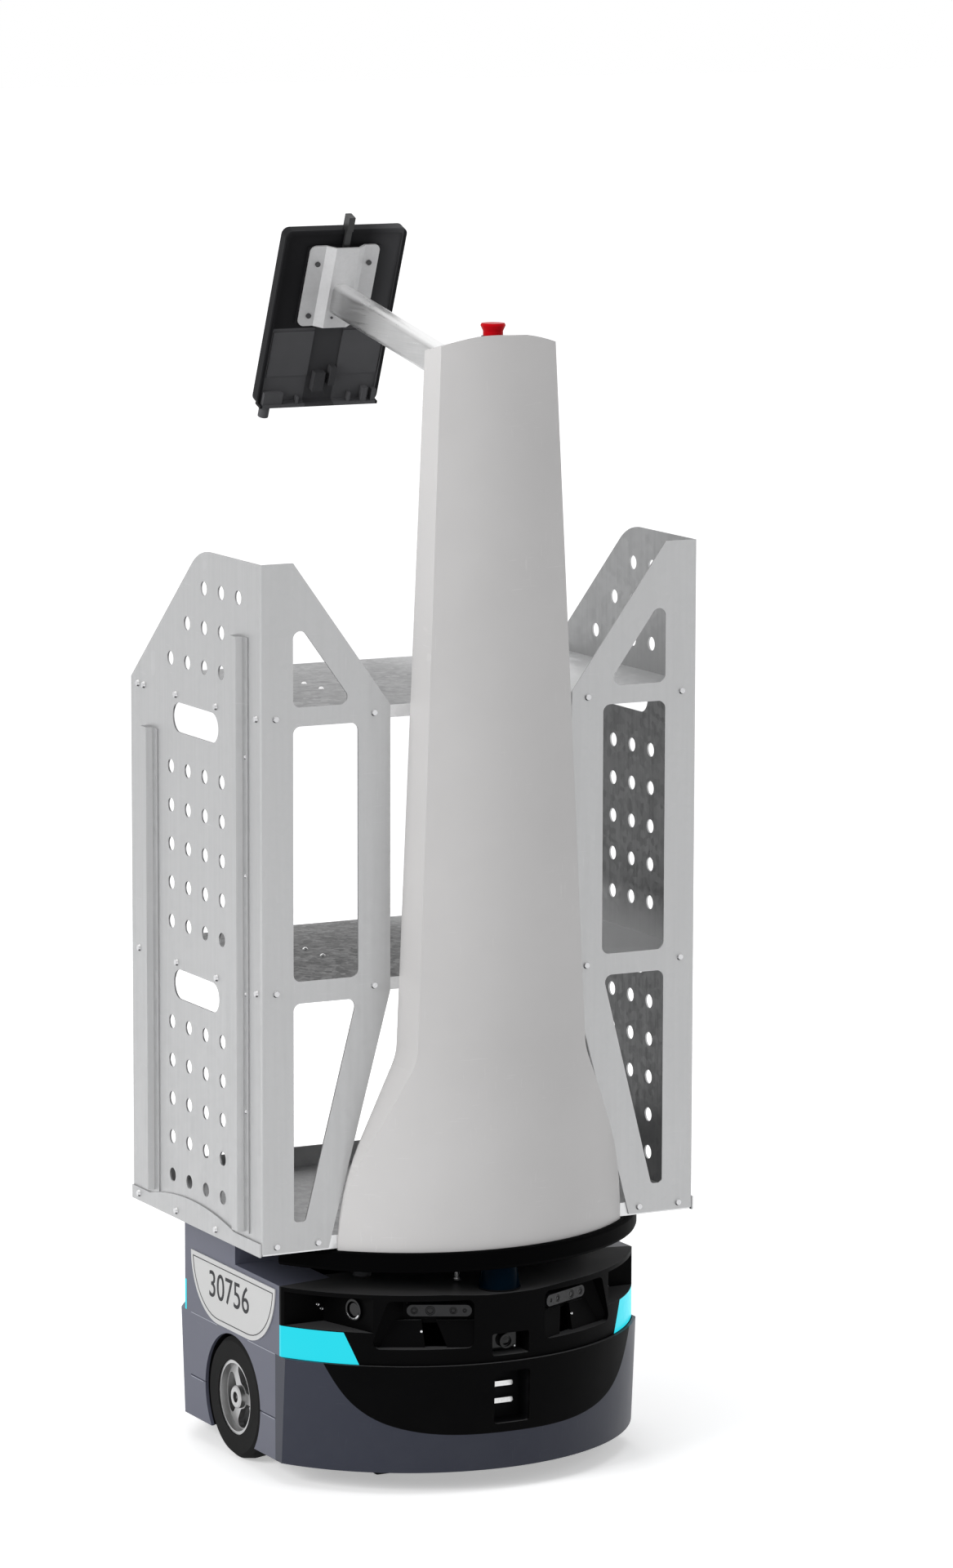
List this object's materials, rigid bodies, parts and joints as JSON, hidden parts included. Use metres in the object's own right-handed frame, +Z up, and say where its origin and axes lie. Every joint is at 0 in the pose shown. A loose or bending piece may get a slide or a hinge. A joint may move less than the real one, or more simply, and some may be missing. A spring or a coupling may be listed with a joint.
{
  "type": "autonomous mobile robot",
  "caption": "Autonomous mobile robot: round two-wheel drive base with sensor shell, tapered column with stop button, tablet on an arm, and an open perforated sheet-metal tote rack.",
  "frame": {"origin": "on the floor at the centre of the round base, under the drive axle", "axes": "+Z up, the front (sensors and column) faces -Y, +X is to the right seen from the front"},
  "size_m": [0.5806, 0.544, 1.4508],
  "materials": {
    "skirt_front_paint": "satin blue-grey paint",
    "panel_paint": "satin blue-grey paint",
    "black_shell": "fine-grained black moulding",
    "column_back": "plain moulding",
    "light": "translucent diffuser, lit cyan",
    "plate": "printed white plate",
    "contact_steel": "bright contact metal",
    "chassis_steel": "dark powder coat",
    "deck_black": "black powder coat",
    "bumper_rubber": "smooth black rubber",
    "inner_black": "plain black",
    "motor_alloy": "machined",
    "hub_alloy": "cast and turned alloy",
    "tyre": "dull black rubber",
    "caster_steel": "zinc plate",
    "camera_grey": "dark anodised",
    "lens_black": "glossy lens",
    "window_blue": "dark blue scanner window",
    "column_paint": "satin white-grey paint",
    "stop_red": "red moulding",
    "arm_alloy": "satin anodised tube",
    "bracket_black": "black moulding and powder coat",
    "screw_steel": "screw heads",
    "holder_grey": "grey moulding",
    "screen_glass": "dark screen glass",
    "rack_steel": "galvanised bent sheet",
    "shelf_steel": "galvanised sheet",
    "bolt_steel": "bright round heads"
  },
  "bodies": {
    "base": {"base_tray": "shelf_steel", "battery_pack": "inner_black", "bracket_screws": "screw_steel", "bumper_ring": "bumper_rubber", "caster_mounts": "caster_steel", "charge_contacts": "contact_steel", "charge_port_housing": "black_shell", "chassis_plate": "chassis_steel", "column_back_cover": "column_back", "column_front_cover": "column_paint", "column_spine": "chassis_steel", "control_box": "inner_black", "deck_plate": "deck_black", "deck_posts": "chassis_steel", "depth_cameras": "camera_grey", "display_arm": "arm_alloy", "estop_collar": "inner_black", "front_skirt": "skirt_front_paint", "gearmotor_left": "motor_alloy", "gearmotor_right": "motor_alloy", "kick_strips": "rack_steel", "lidar_body": "inner_black", "lidar_window": "window_blue", "light_strips": "light", "nose_camera": "lens_black", "number_plates": "plate", "rack_bolts": "bolt_steel", "rack_rails": "rack_steel", "rack_side_left": "rack_steel", "rack_side_right": "rack_steel", "rear_shell": "panel_paint", "rear_skirt": "panel_paint", "sensor_shell": "black_shell", "shelf_middle": "shelf_steel", "shelf_upper": "shelf_steel", "side_panel_left": "panel_paint", "side_panel_right": "panel_paint", "side_sensors": "lens_black", "skirt_insert": "black_shell", "tablet_body": "bracket_black", "tablet_bracket": "arm_alloy", "tablet_glass": "screen_glass", "tablet_holder": "holder_grey"},
    "drive_wheel_left": {"drive_hub_left": "hub_alloy", "drive_tyre_left": "tyre"},
    "drive_wheel_right": {"drive_hub_right": "hub_alloy", "drive_tyre_right": "tyre"},
    "stop_stem": {"estop_stem": "inner_black"},
    "stop_head": {"estop_head": "stop_red"},
    "latch": {"latch_strip": "bracket_black"},
    "caster_front_left": {"caster_fork_front_left": "caster_steel"},
    "caster_roll_front_left": {"caster_wheel_front_left": "tyre"},
    "caster_front_right": {"caster_fork_front_right": "caster_steel"},
    "caster_roll_front_right": {"caster_wheel_front_right": "tyre"},
    "caster_rear_left": {"caster_fork_rear_left": "caster_steel"},
    "caster_roll_rear_left": {"caster_wheel_rear_left": "tyre"},
    "caster_rear_right": {"caster_fork_rear_right": "caster_steel"},
    "caster_roll_rear_right": {"caster_wheel_rear_right": "tyre"}
  },
  "joints": [
    {"name": "drive_left_spin", "type": "hinge", "parent": "base", "child": "drive_wheel_left", "pos_m": [-0.211, 0, 0.074], "axis": [1, 0, 0], "continuous": true},
    {"name": "drive_right_spin", "type": "hinge", "parent": "base", "child": "drive_wheel_right", "pos_m": [0.211, 0, 0.074], "axis": [1, 0, 0], "continuous": true},
    {"name": "caster_swivel_front_left", "type": "hinge", "parent": "base", "child": "caster_front_left", "pos_m": [-0.105, -0.16, 0.1], "axis": [0, 0, 1], "continuous": true},
    {"name": "caster_spin_front_left", "type": "hinge", "parent": "caster_front_left", "child": "caster_roll_front_left", "pos_m": [-0.105, -0.138, 0.03], "axis": [1, 0, 0], "continuous": true},
    {"name": "caster_swivel_front_right", "type": "hinge", "parent": "base", "child": "caster_front_right", "pos_m": [0.105, -0.16, 0.1], "axis": [0, 0, 1], "continuous": true},
    {"name": "caster_spin_front_right", "type": "hinge", "parent": "caster_front_right", "child": "caster_roll_front_right", "pos_m": [0.105, -0.138, 0.03], "axis": [1, 0, 0], "continuous": true},
    {"name": "caster_swivel_rear_left", "type": "hinge", "parent": "base", "child": "caster_rear_left", "pos_m": [-0.105, 0.16, 0.1], "axis": [0, 0, 1], "continuous": true},
    {"name": "caster_spin_rear_left", "type": "hinge", "parent": "caster_rear_left", "child": "caster_roll_rear_left", "pos_m": [-0.105, 0.182, 0.03], "axis": [1, 0, 0], "continuous": true},
    {"name": "caster_swivel_rear_right", "type": "hinge", "parent": "base", "child": "caster_rear_right", "pos_m": [0.105, 0.16, 0.1], "axis": [0, 0, 1], "continuous": true},
    {"name": "caster_spin_rear_right", "type": "hinge", "parent": "caster_rear_right", "child": "caster_roll_rear_right", "pos_m": [0.105, 0.182, 0.03], "axis": [1, 0, 0], "continuous": true},
    {"name": "stop_press", "type": "slide", "parent": "base", "child": "stop_stem", "axis": [0, 0, -1], "range_m": [0, 0.004], "stiffness_N_per_m": 2000, "springref_m": -0.0005},
    {"name": "stop_twist", "type": "hinge", "parent": "stop_stem", "child": "stop_head", "pos_m": [0, -0.213, 1.34], "axis": [0, 0, 1], "range_deg": [0, 45], "stiffness_Nm_per_rad": 0.2},
    {"name": "latch_slide", "type": "slide", "parent": "base", "child": "latch", "axis": [0, -0.3786, 0.9255], "range_m": [0, 0.005], "stiffness_N_per_m": 600, "springref_m": -0.001}
  ]
}
